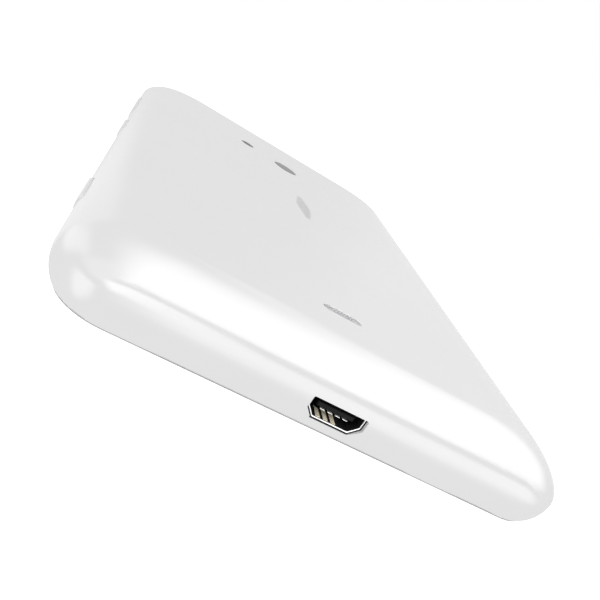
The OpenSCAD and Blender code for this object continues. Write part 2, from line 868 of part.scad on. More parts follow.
module play_key() {
    push_key(play_y, play_len);
}

module play_plunger() {
    plunger(play_y);
}

// ---------------------------------------------------------------- nodes

top_cover();
seam_gasket();
base_plate();
base_pad();
case_screws();
printed_mark();
status_window();
window_tape();
mic_insert();
mic_boot();
mic_capsule();
sounder_grille();
sounder_foam();
sounder();
power_board();
audio_board();
board_screws();
link_ribbon();
ribbon_sockets();
usb_shell();
usb_tongue();
usb_contacts();
usb_floor_strips();
jack_housing();
jack_ferrule();
jack_springs();
battery_frame();
battery_cell();
battery_tape();
battery_leads();
battery_plug();
battery_socket();
charger_chip();
power_inductor();
radio_shield();
radio_chip();
clock_crystal();
audio_converter();
headphone_amp();
antenna();
board_capacitors();
status_led();
light_pipe();
key_board();
key_bracket();
key_switches();
key_ribbon();
rocker_pin();
volume_rocker();
volume_up_plunger();
volume_down_plunger();
power_key();
power_plunger();
play_key();
play_plunger();
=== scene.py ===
"""Looks of the audio receiver: casing, keys, port, jack, window and marks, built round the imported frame."""

import json
import math

import bmesh
import bpy
from mathutils import Euler, Matrix, Vector
from mathutils.bvhtree import BVHTree

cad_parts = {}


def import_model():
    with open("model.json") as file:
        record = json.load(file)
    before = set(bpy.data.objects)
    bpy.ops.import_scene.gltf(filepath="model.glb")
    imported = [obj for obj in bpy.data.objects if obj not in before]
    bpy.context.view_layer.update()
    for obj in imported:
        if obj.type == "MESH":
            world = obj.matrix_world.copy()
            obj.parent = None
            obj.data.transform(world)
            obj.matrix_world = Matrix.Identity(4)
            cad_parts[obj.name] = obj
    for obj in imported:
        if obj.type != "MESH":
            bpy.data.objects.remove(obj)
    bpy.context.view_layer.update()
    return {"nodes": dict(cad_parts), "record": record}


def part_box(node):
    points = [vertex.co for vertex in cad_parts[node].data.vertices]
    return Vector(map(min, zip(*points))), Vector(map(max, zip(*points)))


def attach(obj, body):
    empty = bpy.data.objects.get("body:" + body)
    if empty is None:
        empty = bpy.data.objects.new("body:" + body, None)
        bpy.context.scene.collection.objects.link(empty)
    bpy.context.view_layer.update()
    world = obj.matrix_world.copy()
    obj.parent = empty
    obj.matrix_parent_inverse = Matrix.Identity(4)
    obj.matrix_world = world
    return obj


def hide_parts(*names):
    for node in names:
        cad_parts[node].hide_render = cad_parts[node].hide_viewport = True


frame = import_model()

MM = 0.001
UP, OUT_LEFT, OUT_FRONT, OUT_BACK = "up", "out_left", "out_front", "out_back"

# ---------------------------------------------------------------- sizes, in millimetres throughout

def corners(node):
    """Lowest and highest corner of a CAD piece."""
    low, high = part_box(node)
    return low / MM, high / MM


def middle(node):
    """Centre of a CAD piece's box."""
    low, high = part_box(node)
    return (low + high) / (2 * MM)


def span(node):
    """Size of a CAD piece's box."""
    low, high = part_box(node)
    return (high - low) / MM


cover_low, cover_high = corners("top_cover")
HALF_W, HALF_L, TOP_Z = cover_high
LIP_Z = cover_low.z
CORNER_R = 8.6          # corners, seen from above
WAIST_Z = 5.2           # height of the widest line of the sides
CROWN_IN = 9.4          # how far in the crown reaches the flat top
CROWN_POWER = 1.1       # 1 makes the crown an ellipse, and more brings it closer to a straight slope
CORNER_FADE = 0.2       # how much the corner radius shrinks up the crown, as a share of the inset
TUCK_IN = 4.2           # how far in the sides would curve at height 0
ROOF_T = 1.2
SIDE_T = 1.8
LIP_WALL = 1.1
LIP_HIGH = 1.2
SAME_SPOT = 1e-7        # metres: points closer than this are one point

# ---------------------------------------------------------------- mesh helpers

def arc(cx, cy, r, start, sweep, steps):
    """Points on an arc, both ends included, angles in degrees."""
    angles = [math.radians(start + sweep * i / steps) for i in range(steps + 1)]
    return [(cx + r * math.cos(a), cy + r * math.sin(a)) for a in angles]


def rounded_box(half_w, half_l, r, corner_steps, side_steps=1):
    """Outline of a rounded rectangle, anticlockwise from the lower end of its upper right corner."""
    x, y = half_w - r, half_l - r
    centres = [(x, y), (-x, y), (-x, -y), (x, -y)]
    arcs = [arc(cx, cy, r, 90 * i, 90, corner_steps) for i, (cx, cy) in enumerate(centres)]
    points = []
    for i, run in enumerate(arcs):
        points += run
        a, b = Vector(run[-1]), Vector(arcs[(i + 1) % 4][0])
        points += [tuple(a.lerp(b, k / side_steps)) for k in range(1, side_steps)]
    return points


def pill(length, width, steps=12):
    """Outline with half-round ends, length along the first axis."""
    r = width / 2
    reach = length / 2 - r
    return arc(reach, 0, r, -90, 180, steps) + arc(-reach, 0, r, 90, 180, steps)


def disc(r, steps):
    angles = [2 * math.pi * i / steps for i in range(steps)]
    return [(r * math.cos(a), r * math.sin(a)) for a in angles]


# The next four give an outline as a function of its growth

def grown_disc(r, steps):
    return lambda grow: disc(r + grow, steps)


def grown_pill(length, width, steps=12):
    return lambda grow: pill(length + 2 * grow, width + 2 * grow, steps)


def grown_slot(length, width, r, tightest):
    """Slot with square ends, whose corner radius shrinks by no more than tightest."""
    return lambda grow: rounded_box(length / 2 + grow, width / 2 + grow, r + max(grow, -tightest), 3)


def scaled(outline):
    return lambda grow: [(u * (1 + grow), v * (1 + grow)) for u, v in outline]


def placed(outline, depth, centre, facing):
    """Outline points in the row frame, in metres: depth runs out of the face that the outline lies on."""
    x, y, z = centre
    spots = {
        UP: lambda u, v: (x + u, y + v, z + depth),
        OUT_LEFT: lambda u, v: (x - depth, y + u, z + v),
        OUT_FRONT: lambda u, v: (x + u, y - depth, z + v),
        OUT_BACK: lambda u, v: (x + u, y + depth, z + v),
    }
    return [Vector(spots[facing](u, v)) * MM for u, v in outline]


def add(name, data):
    """New object in the scene."""
    thing = bpy.data.objects.new(name, data)
    bpy.context.scene.collection.objects.link(thing)
    return thing


def mesh_from(name, verts, faces):
    mesh = bpy.data.meshes.new(name)
    mesh.from_pydata(verts, [], faces)
    return mesh


def loft(name, rings, closed=False):
    """Solid through rings of equal point count: capped at both ends, or joined last to first when closed."""
    size, count = len(rings[0]), len(rings)
    faces = []
    for i in range(count if closed else count - 1):
        here, there = i * size, (i + 1) % count * size
        for j in range(size):
            k = (j + 1) % size
            faces.append((here + j, here + k, there + k, there + j))
    if not closed:
        last = (count - 1) * size
        faces += [tuple(range(size)), tuple(range(last, last + size))]
    mesh = mesh_from(name, [point for ring in rings for point in ring], faces)
    bm = bmesh.new()
    bm.from_mesh(mesh)
    bmesh.ops.remove_doubles(bm, verts=bm.verts, dist=SAME_SPOT)
    bmesh.ops.recalc_face_normals(bm, faces=bm.faces)
    bm.to_mesh(mesh)
    bm.free()
    return add(name, mesh)


def stack(name, outline_at, profile, centre, facing, closed=False):
    """Solid through outlines of changing growth: profile is a list of (growth, depth)."""
    return loft(name, [placed(outline_at(grow), depth, centre, facing) for grow, depth in profile], closed)


def join(name, pieces):
    """One object from several, each keeping its own closed surface."""
    verts, faces = [], []
    for piece in pieces:
        start = len(verts)
        verts += [v.co.copy() for v in piece.data.vertices]
        faces += [tuple(start + i for i in f.vertices) for f in piece.data.polygons]
        bpy.data.objects.remove(piece)
    return add(name, mesh_from(name, verts, faces))


def combine(piece, others, operation):
    """Boolean of the piece with other solids, which are then removed."""
    for other in others:
        step = piece.modifiers.new("step", "BOOLEAN")
        step.operation = operation
        step.solver = "EXACT"
        step.object = other
        apply_modifiers(piece)
        bpy.data.objects.remove(other)
    return piece


def apply_modifiers(piece):
    bpy.context.view_layer.update()
    mesh = bpy.data.meshes.new_from_object(piece.evaluated_get(bpy.context.evaluated_depsgraph_get()))
    piece.modifiers.clear()
    old = piece.data
    piece.data = mesh
    bpy.data.meshes.remove(old)


def smooth(piece, angle=35):
    """Smooth shading that keeps every edge sharper than angle."""
    piece.data.shade_smooth()
    piece.data.set_sharp_from_angle(angle=math.radians(angle))
    return piece


def paint(piece, slot):
    """Gives every face the finish of one material slot."""
    piece.data.materials.clear()
    piece.data.materials.append(MATERIALS[slot])
    for face in piece.data.polygons:
        face.material_index = 0


def finish_piece(piece, body, slot, node):
    """Finish, body and material slot of a piece, and the CAD piece that it stands for."""
    paint(piece, slot)
    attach(piece, body)
    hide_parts(node)


# ---------------------------------------------------------------- materials

def coordinates(tree, scale):
    """Object position, stretched by scale along each axis."""
    place = tree.nodes.new("ShaderNodeTexCoord")
    stretch = tree.nodes.new("ShaderNodeMapping")
    stretch.inputs["Scale"].default_value = scale
    tree.links.new(place.outputs["Object"], stretch.inputs["Vector"])
    return stretch.outputs["Vector"]


def noise(tree, size_mm, detail, stretch):
    """Noise whose cells are about size_mm across."""
    grain = tree.nodes.new("ShaderNodeTexNoise")
    grain.inputs["Scale"].default_value = 1 / (size_mm * MM)
    grain.inputs["Detail"].default_value = detail
    tree.links.new(coordinates(tree, stretch), grain.inputs["Vector"])
    return grain.outputs["Fac"]


NOISE_LOW, NOISE_HIGH = 0.3, 0.7     # nearly all of the noise lies between these


def between(tree, value, low, high):
    """The numbers low to high, as the noise goes from its low end to its high end."""
    scale = tree.nodes.new("ShaderNodeMapRange")
    scale.inputs["From Min"].default_value = NOISE_LOW
    scale.inputs["From Max"].default_value = NOISE_HIGH
    scale.inputs["To Min"].default_value = low
    scale.inputs["To Max"].default_value = high
    tree.links.new(value, scale.inputs["Value"])
    return scale.outputs["Result"]


def colours(tree, value, first, second):
    """A blend from the first colour to the second, as the noise goes from its low end to its high end."""
    ramp = tree.nodes.new("ShaderNodeValToRGB")
    low, high = ramp.color_ramp.elements
    low.position, high.position = NOISE_LOW, NOISE_HIGH
    low.color, high.color = (*first, 1), (*second, 1)
    tree.links.new(value, ramp.inputs["Fac"])
    return ramp.outputs["Color"]


def shade(colour, factor):
    """The colour, darker below a factor of 1 and lighter above it."""
    return tuple(min(1.0, c * factor) for c in colour)


def finish(name, colour, roughness, metallic=0.0, variation=0.04, patch_mm=6.0, grain_mm=0.3, relief_mm=0.0,
           stretch=(1, 1, 1), wear=0.15, **sockets):
    """A material with patches of slightly different tone, a fine grain in its roughness, and relief."""
    material = bpy.data.materials.new(name)
    material.use_nodes = True
    tree = material.node_tree
    shader = tree.nodes["Principled BSDF"]
    shader.inputs["Metallic"].default_value = metallic
    for socket, value in sockets.items():
        shader.inputs[socket.replace("_", " ")].default_value = value
    patches = noise(tree, patch_mm, 3, stretch)
    tone = colours(tree, patches, shade(colour, 1 - variation), shade(colour, 1 + variation))
    tree.links.new(tone, shader.inputs["Base Color"])
    grain = noise(tree, grain_mm, 4, stretch)
    rough = between(tree, grain, roughness * (1 - wear), min(1.0, roughness * (1 + wear)))
    tree.links.new(rough, shader.inputs["Roughness"])
    if relief_mm:
        bump = tree.nodes.new("ShaderNodeBump")
        bump.inputs["Distance"].default_value = relief_mm * MM
        tree.links.new(grain, bump.inputs["Height"])
        tree.links.new(bump.outputs["Normal"], shader.inputs["Normal"])
    return material


WHITE = (0.765, 0.765, 0.765)
BLACK = (0.03, 0.03, 0.03)

FINISHES = {
    # Casing, keys and marks
    "white_gloss": dict(colour=WHITE, roughness=0.17, variation=0.006, patch_mm=14, grain_mm=1.6,
                        relief_mm=0.0006, wear=0.1, IOR=1.46),
    "key_white": dict(colour=WHITE, roughness=0.24, variation=0.008, patch_mm=8, grain_mm=0.5,
                      relief_mm=0.001),
    "base_white": dict(colour=(0.73, 0.73, 0.73), roughness=0.42, variation=0.012, grain_mm=0.25,
                       relief_mm=0.006),
    "gasket_grey": dict(colour=(0.3, 0.3, 0.3), roughness=0.6, variation=0.1, grain_mm=0.2, relief_mm=0.004),
    "pad_grey": dict(colour=(0.45, 0.45, 0.46), roughness=0.75, variation=0.04, grain_mm=0.4, relief_mm=0.03),
    "print_grey": dict(colour=(0.42, 0.42, 0.43), roughness=0.38, variation=0.12, patch_mm=0.9,
                       grain_mm=0.15),
    "window_dark": dict(colour=(0.05, 0.05, 0.055), roughness=0.12, variation=0.1, patch_mm=2),
    "insert_dark": dict(colour=(0.13, 0.13, 0.13), roughness=0.4, variation=0.1, patch_mm=1, grain_mm=0.1,
                        relief_mm=0.003),
    "grille_grey": dict(colour=(0.3, 0.3, 0.31), roughness=0.45, metallic=0.3, grain_mm=0.12,
                        relief_mm=0.002),
    # Fixings, soft parts and the charging port
    "steel": dict(colour=(0.62, 0.62, 0.61), roughness=0.3, metallic=1.0, patch_mm=3, grain_mm=0.15,
                  wear=0.3),
    "black_rubber": dict(colour=BLACK, roughness=0.7, variation=0.2, relief_mm=0.01),
    "black_tape": dict(colour=BLACK, roughness=0.6, variation=0.2, relief_mm=0.01),
    "mic_can": dict(colour=(0.7, 0.68, 0.62), roughness=0.28, metallic=1.0, grain_mm=0.1, wear=0.3),
    "black_plastic": dict(colour=(0.005, 0.005, 0.005), roughness=0.6, variation=0.2, grain_mm=0.15,
                          relief_mm=0.004, Specular_IOR_Level=0.12),
    # Inside
    "board_green": dict(colour=(0.02, 0.13, 0.05), roughness=0.3, variation=0.25, patch_mm=1.4, grain_mm=0.3,
                        relief_mm=0.01),
    "flex_amber": dict(colour=(0.62, 0.24, 0.04), roughness=0.3, variation=0.12, patch_mm=1.2,
                       stretch=(4, 1, 4)),
    "ivory_plastic": dict(colour=(0.72, 0.66, 0.5), roughness=0.4, grain_mm=0.2, relief_mm=0.003),
    "port_steel": dict(colour=(0.66, 0.66, 0.66), roughness=0.3, metallic=0.9, patch_mm=1.5, grain_mm=0.1,
                       wear=0.25),
    "contact_tin": dict(colour=(0.9, 0.9, 0.88), roughness=0.25, metallic=0.7, grain_mm=0.1, wear=0.3),
    "contact_gold": dict(colour=(0.95, 0.86, 0.68), roughness=0.45, metallic=0.1, grain_mm=0.1, wear=0.3),
    "jack_metal": dict(colour=(0.7, 0.7, 0.69), roughness=0.22, metallic=1.0, patch_mm=2, grain_mm=0.12,
                       wear=0.3),
    "frame_white": dict(colour=(0.7, 0.7, 0.68), roughness=0.45, grain_mm=0.3, relief_mm=0.005),
    "cell_foil": dict(colour=(0.6, 0.6, 0.62), roughness=0.34, metallic=0.9, patch_mm=9, grain_mm=1.1,
                      relief_mm=0.05),
    "tape_ivory": dict(colour=(0.7, 0.66, 0.56), roughness=0.5, relief_mm=0.01),
    "lead_sleeve": dict(colour=(0.35, 0.02, 0.02), roughness=0.45, variation=0.15, relief_mm=0.005),
    "chip_black": dict(colour=(0.025, 0.025, 0.027), roughness=0.5, variation=0.15, grain_mm=0.12,
                       relief_mm=0.005),
    "ferrite_grey": dict(colour=(0.1, 0.1, 0.11), roughness=0.6, variation=0.2, grain_mm=0.15,
                         relief_mm=0.01),
    "ceramic": dict(colour=(0.42, 0.3, 0.17), roughness=0.4, variation=0.15, patch_mm=0.8, grain_mm=0.1),
    "led_yellow": dict(colour=(0.75, 0.62, 0.12), roughness=0.3, variation=0.1, patch_mm=0.5, grain_mm=0.1),
    "clear_plastic": dict(colour=(0.85, 0.88, 0.9), roughness=0.12, variation=0.02, Transmission_Weight=0.85),
}

MATERIALS = {name: finish(name, **look) for name, look in FINISHES.items()}

for part in frame["record"]["subparts"]:
    paint(frame["nodes"][part["node"]], part["material_slot"])

# ---------------------------------------------------------------- openings in the top cover

CUT_PAST = 0.5          # how far a cutter's mouth flares and runs past the surface


def cutter(outline_at, profile, centre, facing):
    return stack("cutter", outline_at, profile, centre, facing)


# Charging port: six-sided opening with small bends at its corners
PORT_W = 7.0
PORT_H = 2.4
PORT_FLAT = 1.1         # height at which the sides turn in towards the floor
PORT_NARROW = 1.05      # how much narrower the floor is, at each end
PORT_SHEET = 0.25
PORT_GAP = 0.15
PORT_BEND = 0.22
port_low, port_high = corners("usb_shell")
PORT_Y = port_low.y
PORT_Z = port_low.z + PORT_SHEET
PORT_DEEP = port_high.y - port_low.y
PORT_AT = (0, PORT_Y, PORT_Z)


def rounded_polygon(points, radius, steps=4):
    """Polygon with each corner replaced by an arc of the given radius."""
    out = []
    for i, point in enumerate(points):
        here, before, after = Vector(point), Vector(points[i - 1]), Vector(points[(i + 1) % len(points)])
        to_before, to_after = (before - here).normalized(), (after - here).normalized()
        half = to_before.angle(to_after) / 2
        centre = here + (to_before + to_after).normalized() * (radius / math.sin(half))
        start = here + to_before * (radius / math.tan(half)) - centre
        turn = math.pi - 2 * half
        side = 1 if start.cross(-to_before) > 0 else -1
        for k in range(steps + 1):
            a = side * turn * k / steps
            out.append((centre.x + start.x * math.cos(a) - start.y * math.sin(a),
                        centre.y + start.x * math.sin(a) + start.y * math.cos(a)))
    return out


def port_outline(grow, roof=None):
    """Outline of the opening grown outwards, from its floor at height 0; roof is the upper edge's growth."""
    upper = PORT_H + (grow if roof is None else roof)
    half = PORT_W / 2 + grow
    along = grow * 0.4
    shoulder = PORT_FLAT - along
    floor_half = PORT_W / 2 - PORT_NARROW + along
    points = [(half, upper), (-half, upper), (-half, shoulder), (-floor_half, -grow), (floor_half, -grow),
              (half, shoulder)]
    return rounded_polygon(points, PORT_BEND)


def port_cutters():
    """The cover's opening for the port: its upper lip overhangs the shell's rim."""
    gap = PORT_SHEET + PORT_GAP
    chamfer = 0.06
    mouth, roof, shift = gap - 0.06, 0.18, 0.05
    skin = HALF_L + PORT_Y
    flares = [(CUT_PAST, 1.5), (chamfer, skin), (0, skin - chamfer), (0, 0.04)]
    lip = [placed(port_outline(mouth + flare, roof + flare), depth, (shift, PORT_Y, PORT_Z), OUT_FRONT)
           for flare, depth in flares]
    room = [placed(port_outline(gap), depth, PORT_AT, OUT_FRONT) for depth in (0.1, -3)]
    return [loft("cutter", lip), loft("cutter", room)]


KEY_GAP = 0.15
POCKET_DEEP = 1.6       # from the side of the casing to the room for a key's flange
FLANGE_OUT = 0.35


def key_cap_size(node):
    """Length, height and place on the side wall of a key's cap, which its flange goes round."""
    size, centre = span(node), middle(node)
    return size.y - 2 * FLANGE_OUT, size.z - 2 * FLANGE_OUT, (-HALF_W, centre.y, centre.z)


def key_cutters(node):
    """Slot through the side wall for one key, with the room behind the wall for its flange."""
    length, height, at = key_cap_size(node)
    slot = [(KEY_GAP + CUT_PAST, 1.0), (KEY_GAP + 0.07, 0.02), (KEY_GAP, -0.05), (KEY_GAP, -POCKET_DEEP - 1)]
    room = [(FLANGE_OUT + 0.25, -POCKET_DEEP), (FLANGE_OUT + 0.25, -6)]
    return [cutter(grown_pill(length, height), profile, at, OUT_LEFT) for profile in (slot, room)]


RECESS_GAP = 0.03
CHAMFER = 0.06


def recess_cutters(outline_at, node, depth, hole_grow):
    """Seat sunk in the roof with a fine chamfer, and a smaller hole right through."""
    centre = middle(node)
    at = (centre.x, centre.y, TOP_Z)
    seat = [(RECESS_GAP + CUT_PAST, CUT_PAST), (RECESS_GAP + CHAMFER, 0), (RECESS_GAP, -CHAMFER),
            (RECESS_GAP, -depth)]
    hole = [(hole_grow, 0.3), (hole_grow, -ROOF_T - 1)]
    return [cutter(outline_at, seat, at, UP), cutter(outline_at, hole, at, UP)]


WINDOW_R = span("status_window").x / 2
MIC_R = span("mic_insert").x / 2
GRILLE_LEN, GRILLE_W = span("sounder_grille").x, span("sounder_grille").y
FERRULE_R = span("jack_ferrule").x / 2


def jack_cutter():
    """Round hole through the far end, with a rounded edge."""
    jack = middle("jack_ferrule")
    profile = [(0.6, 0.8), (0.2, 0.02), (0.1, -0.1), (0.1, -5)]
    return cutter(grown_disc(FERRULE_R, 64), profile, (jack.x, HALF_L, jack.z), OUT_BACK)


# ---------------------------------------------------------------- top cover

CORNER_STEPS = 28
SIDE_STEPS = 16
CROWN_STEPS = 36
TUCK_STEPS = 12
CAVITY_STEPS = 8


def skin_ring(inset, r, z):
    """Level ring with corners of radius r, inset from the widest line of the sides."""
    outline = rounded_box(HALF_W - inset, HALF_L - inset, r, CORNER_STEPS, SIDE_STEPS)
    return placed(outline, 0, (0, 0, z), UP)


def crown_ring(angle):
    """Ring of the crown, from 90 degrees at the widest line to 0 at the flat top."""
    rise = math.cos(math.radians(angle)) ** CROWN_POWER
    inset = CROWN_IN * (1 - math.sin(math.radians(angle)) ** CROWN_POWER)
    return skin_ring(inset, CORNER_R - CORNER_FADE * inset, WAIST_Z + (TOP_Z - WAIST_Z) * rise)


def tuck_inset(z):
    """How far in the sides are at a height below the widest line."""
    return TUCK_IN * (1 - math.sqrt(1 - ((WAIST_Z - z) / WAIST_Z) ** 2))


def skin_rings():
    """Outside of the cover, from its lower lip to the flat top."""
    heights = [LIP_Z + (WAIST_Z - LIP_Z) * i / TUCK_STEPS for i in range(TUCK_STEPS)]
    rings = [skin_ring(tuck_inset(z), CORNER_R - tuck_inset(z), z) for z in heights]
    return rings + [crown_ring(90 - 90 * i / CROWN_STEPS) for i in range(CROWN_STEPS + 1)]


def cavity_rings():
    """Inside of the cover: up the lip's wall, out to the side walls and up under the roof."""
    low_in = tuck_inset(LIP_Z) + LIP_WALL
    step_z = LIP_Z + LIP_HIGH
    levels = [(low_in, CORNER_R - low_in, LIP_Z - 1), (low_in, CORNER_R - low_in, step_z),
              (SIDE_T, CORNER_R - SIDE_T, step_z + 1)]
    roof = TOP_Z - ROOF_T
    for i in range(CAVITY_STEPS + 1):
        angle = math.radians(90 - 90 * i / CAVITY_STEPS)
        inset = (CROWN_IN - 1) * (1 - math.sin(angle) ** CROWN_POWER)
        r = CORNER_R - SIDE_T - CORNER_FADE * inset
        levels.append((SIDE_T + inset, r, roof - (roof - WAIST_Z) * (1 - math.cos(angle) ** CROWN_POWER)))
    return [skin_ring(inset, r, z) for inset, r, z in levels]


def top_cover():
    """Thin shell with openings for the keys, the port, the window, the insert, the grille and the jack."""
    cover = loft("cover_shell", skin_rings())
    skin = loft("skin", skin_rings())
    cutters = [loft("cutter", cavity_rings())]
    for node in ("volume_rocker", "power_key", "play_key"):
        cutters += key_cutters(node)
    cutters += port_cutters()
    cutters += recess_cutters(grown_disc(WINDOW_R, 64), "status_window", 0.6, -0.7)
    cutters += recess_cutters(grown_disc(MIC_R, 48), "mic_insert", 0.5, -1.0)
    cutters += recess_cutters(grown_pill(GRILLE_LEN, GRILLE_W), "sounder_grille", 0.5, -0.3)
    cutters.append(jack_cutter())
    combine(cover, cutters, "DIFFERENCE")
    true_normals(cover, skin)
    finish_piece(cover, "root", "white_gloss", "top_cover")


ON_SKIN = 2e-6          # metres
SAME_WAY = 20           # degrees


def true_normals(piece, reference):
    """Gives faces that lie on the reference surface its own smooth normals; the rest go by their angles."""
    smooth(piece, 30)
    reference.data.shade_smooth()
    ref = reference.data
    tree = BVHTree.FromPolygons([v.co for v in ref.vertices], [f.vertices for f in ref.polygons])
    corner = [n.vector.copy() for n in piece.data.corner_normals]
    for face in piece.data.polygons:
        for i in face.loop_indices:
            co = piece.data.vertices[piece.data.loops[i].vertex_index].co
            _, normal, index, distance = tree.find_nearest(co)
            if distance > ON_SKIN or face.normal.angle(normal) > math.radians(SAME_WAY):
                continue
            near = ref.polygons[index]
            if len(near.vertices) > 4:      # the flat top
                corner[i] = Vector((0, 0, 1))
                continue
            weights = [1 / ((ref.vertices[v].co - co).length + SAME_SPOT) ** 2 for v in near.vertices]
            mix = sum((ref.vertices[v].normal * w for v, w in zip(near.vertices, weights)), Vector())
            corner[i] = mix.normalized()
    piece.data.normals_split_custom_set([tuple(n) for n in corner])
    bpy.data.objects.remove(reference)


# ---------------------------------------------------------------- seam, base, pad and screws

PLATE_EDGE = tuck_inset(LIP_Z) + 0.3
UPSTAND_IN = 3.1        # the upstand inside the cover's lip
UPSTAND_T = 0.9
UPSTAND_HIGH = 1.5
FLOOR_T = 0.8
PAD_IN = 5.0
BOSS_AT = [(sx * 27.5, sy * 55.6) for sx in (-1, 1) for sy in (-1, 1)]
BOSS_R = 3.2
BORE_R = 1.1
WELL_R = 2.0
HEAD_R = 1.8
THREAD_STEP = 0.18
SLOT_LEN, SLOT_W = 1.9, 0.42


def edge_ring(inset, z):
    """Ring parallel to the widest line of the sides, inset from it, with the corners' own centre."""
    outline = rounded_box(HALF_W - inset, HALF_L - inset, max(CORNER_R - inset, 0.6), 12)
    return placed(outline, 0, (0, 0, z), UP)


def seam_gasket():
    """Round bead on the outside, and a flat strip that runs in between the cover and the plate."""
    low, high = corners("seam_gasket")
    outer = tuck_inset(LIP_Z) + 0.05
    bulge, strip_w = 0.04, 0.9
    middle_z, half = (low.z + high.z) / 2, (high.z - low.z) / 2
    bead = []
    for degrees in range(0, 181, 30):
        a = math.radians(degrees)
        bead.append((outer + bulge - bulge * math.sin(a), middle_z - half * math.cos(a)))
    strip = [(outer + strip_w, high.z), (outer + strip_w, low.z)]
    gasket = loft("seam_gasket_bead", [edge_ring(inset, z) for inset, z in bead + strip], closed=True)
    finish_piece(smooth(gasket, 40), "root", "gasket_grey", "seam_gasket")


def base_shell(bottom, seam):
    """The plate as (inset, height) levels: the pad's seat, the outer edge, and the upstand inside."""
    upstand_top, upstand_back, soft = bottom + UPSTAND_HIGH, UPSTAND_IN + UPSTAND_T, 0.15
    levels = [(PAD_IN + 0.35, bottom + 0.12), (PAD_IN + 0.3, bottom)]
    levels += [(PLATE_EDGE + 1.25, bottom), (PLATE_EDGE + 1.0, bottom + 0.05),
               (PLATE_EDGE + 0.12, seam - 0.14), (PLATE_EDGE, seam - 0.05), (PLATE_EDGE + 0.03, seam)]
    levels += [(UPSTAND_IN, seam), (UPSTAND_IN, upstand_top - soft), (UPSTAND_IN + soft, upstand_top),
               (upstand_back - soft, upstand_top), (upstand_back, upstand_top - soft),
               (upstand_back, bottom + FLOOR_T)]
    return loft("base_shell", [edge_ring(inset, z) for inset, z in levels])


def at_bosses(name, r, steps, profile, bottom):
    """The same turned shape at each of the four bosses, in one object."""
    shapes = [stack(name, grown_disc(r, steps), profile, (x, y, bottom), UP) for x, y in BOSS_AT]
    return join(name, shapes)


def base_plate():
    """Plate with four bosses, each with a well for a screw's head and a bore for its shank."""
    low, high = corners("base_plate")
    seam = corners("seam_gasket")[0].z
    reach = high.z - low.z
    plate = base_shell(low.z, seam)
    bosses = at_bosses("bosses", BOSS_R, 40, [(0, 0), (0, reach - 0.2), (-0.2, reach)], low.z)
    combine(plate, [bosses], "UNION")
    wells = at_bosses("wells", WELL_R, 40, [(0.3, -0.2), (0.12, 0), (0, 0.12), (0, 0.95)], low.z)
    bores = at_bosses("bores", BORE_R, 24, [(0, 0.5), (0, 4)], low.z)
    combine(plate, [wells, bores], "DIFFERENCE")
    finish_piece(smooth(plate), "root", "base_white", "base_plate")


def base_pad():
    """Thin pad with a rounded lower edge."""
    low, high = corners("base_pad")

    def outline(grow):
        return rounded_box(HALF_W - PAD_IN + grow, HALF_L - PAD_IN + grow, CORNER_R - 3 + grow, 12)

    edge = [(-0.25, 0.0), (-0.12, 0.02), (-0.03, 0.08), (0, 0.16), (0, high.z - low.z)]
    pad = stack("foot_pad", outline, edge, (0, 0, low.z), UP)
    finish_piece(smooth(pad, 50), "root", "pad_grey", "base_pad")


def case_screws():
    """Pan heads with a cross recess, seated in their wells, with shanks up into the cover's bosses."""
    low, high = corners("case_screws")
    reach = high.z - low.z
    head = [(-1.25, 0.0), (-0.9, 0.01), (-0.35, 0.08), (-0.08, 0.22), (0, 0.4), (0, 0.82), (-1.0, 0.86)]
    turns = int((reach - 1.3) / THREAD_STEP)
    thread = [(-1.0 - 0.12 * (i % 2), 0.95 + i * THREAD_STEP) for i in range(turns)]
    screws = at_bosses("casing_screws", HEAD_R, 32, head + thread + [(-1.5, reach)], low.z)
    recess = [(0.04, -0.3), (0, 0.1), (-0.08, 0.55)]
    bars = [cutter(grown_slot(length, width, 0.1, 0.09), recess, (x, y, low.z), UP)
            for x, y in BOSS_AT for length, width in ((SLOT_W, SLOT_LEN), (SLOT_LEN, SLOT_W))]
    combine(screws, bars, "DIFFERENCE")
    finish_piece(smooth(screws), "root", "steel", "case_screws")


# ---------------------------------------------------------------- window, microphone insert and grille

PLATE_T = 0.5           # of the insert and the grille


def status_window():
    """Lens with a low dome, its top level with the roof."""
    centre = middle("status_window")
    dome = [(0, -0.6), (0, -0.09), (-0.03, -0.035), (-0.1, -0.012), (-0.6, -0.006), (-1.4, -0.002), (-2.4, 0)]
    lens = stack("window_lens", grown_disc(WINDOW_R, 64), dome, (centre.x, centre.y, TOP_Z), UP)
    finish_piece(smooth(lens, 50), "root", "window_dark", "status_window")


def perforated(name, outline_at, holes, hole_r, slot, node):
    """Thin plate with rounded edges and a pattern of round holes, level with the roof."""
    centre = middle(node)
    edge = [(0, -PLATE_T), (0, -0.1), (-0.03, -0.03), (-0.1, 0)]
    plate = stack(name, outline_at, edge, (centre.x, centre.y, TOP_Z), UP)
    drill = [(0.08, 0.04), (0.04, -0.01), (0, -0.06), (0, -PLATE_T - 0.1)]
    spots = [(centre.x + u, centre.y + v, TOP_Z) for u, v in holes]
    drills = join("drills", [cutter(grown_disc(hole_r, 12), drill, spot, UP) for spot in spots])
    combine(plate, [drills], "DIFFERENCE")
    finish_piece(smooth(plate), "root", slot, node)


def microphone_insert():
    """One hole with six round it."""
    holes = [(0, 0)] + disc(0.75, 6)
    perforated("microphone_mesh", grown_disc(MIC_R, 48), holes, 0.15, "insert_dark", "mic_insert")


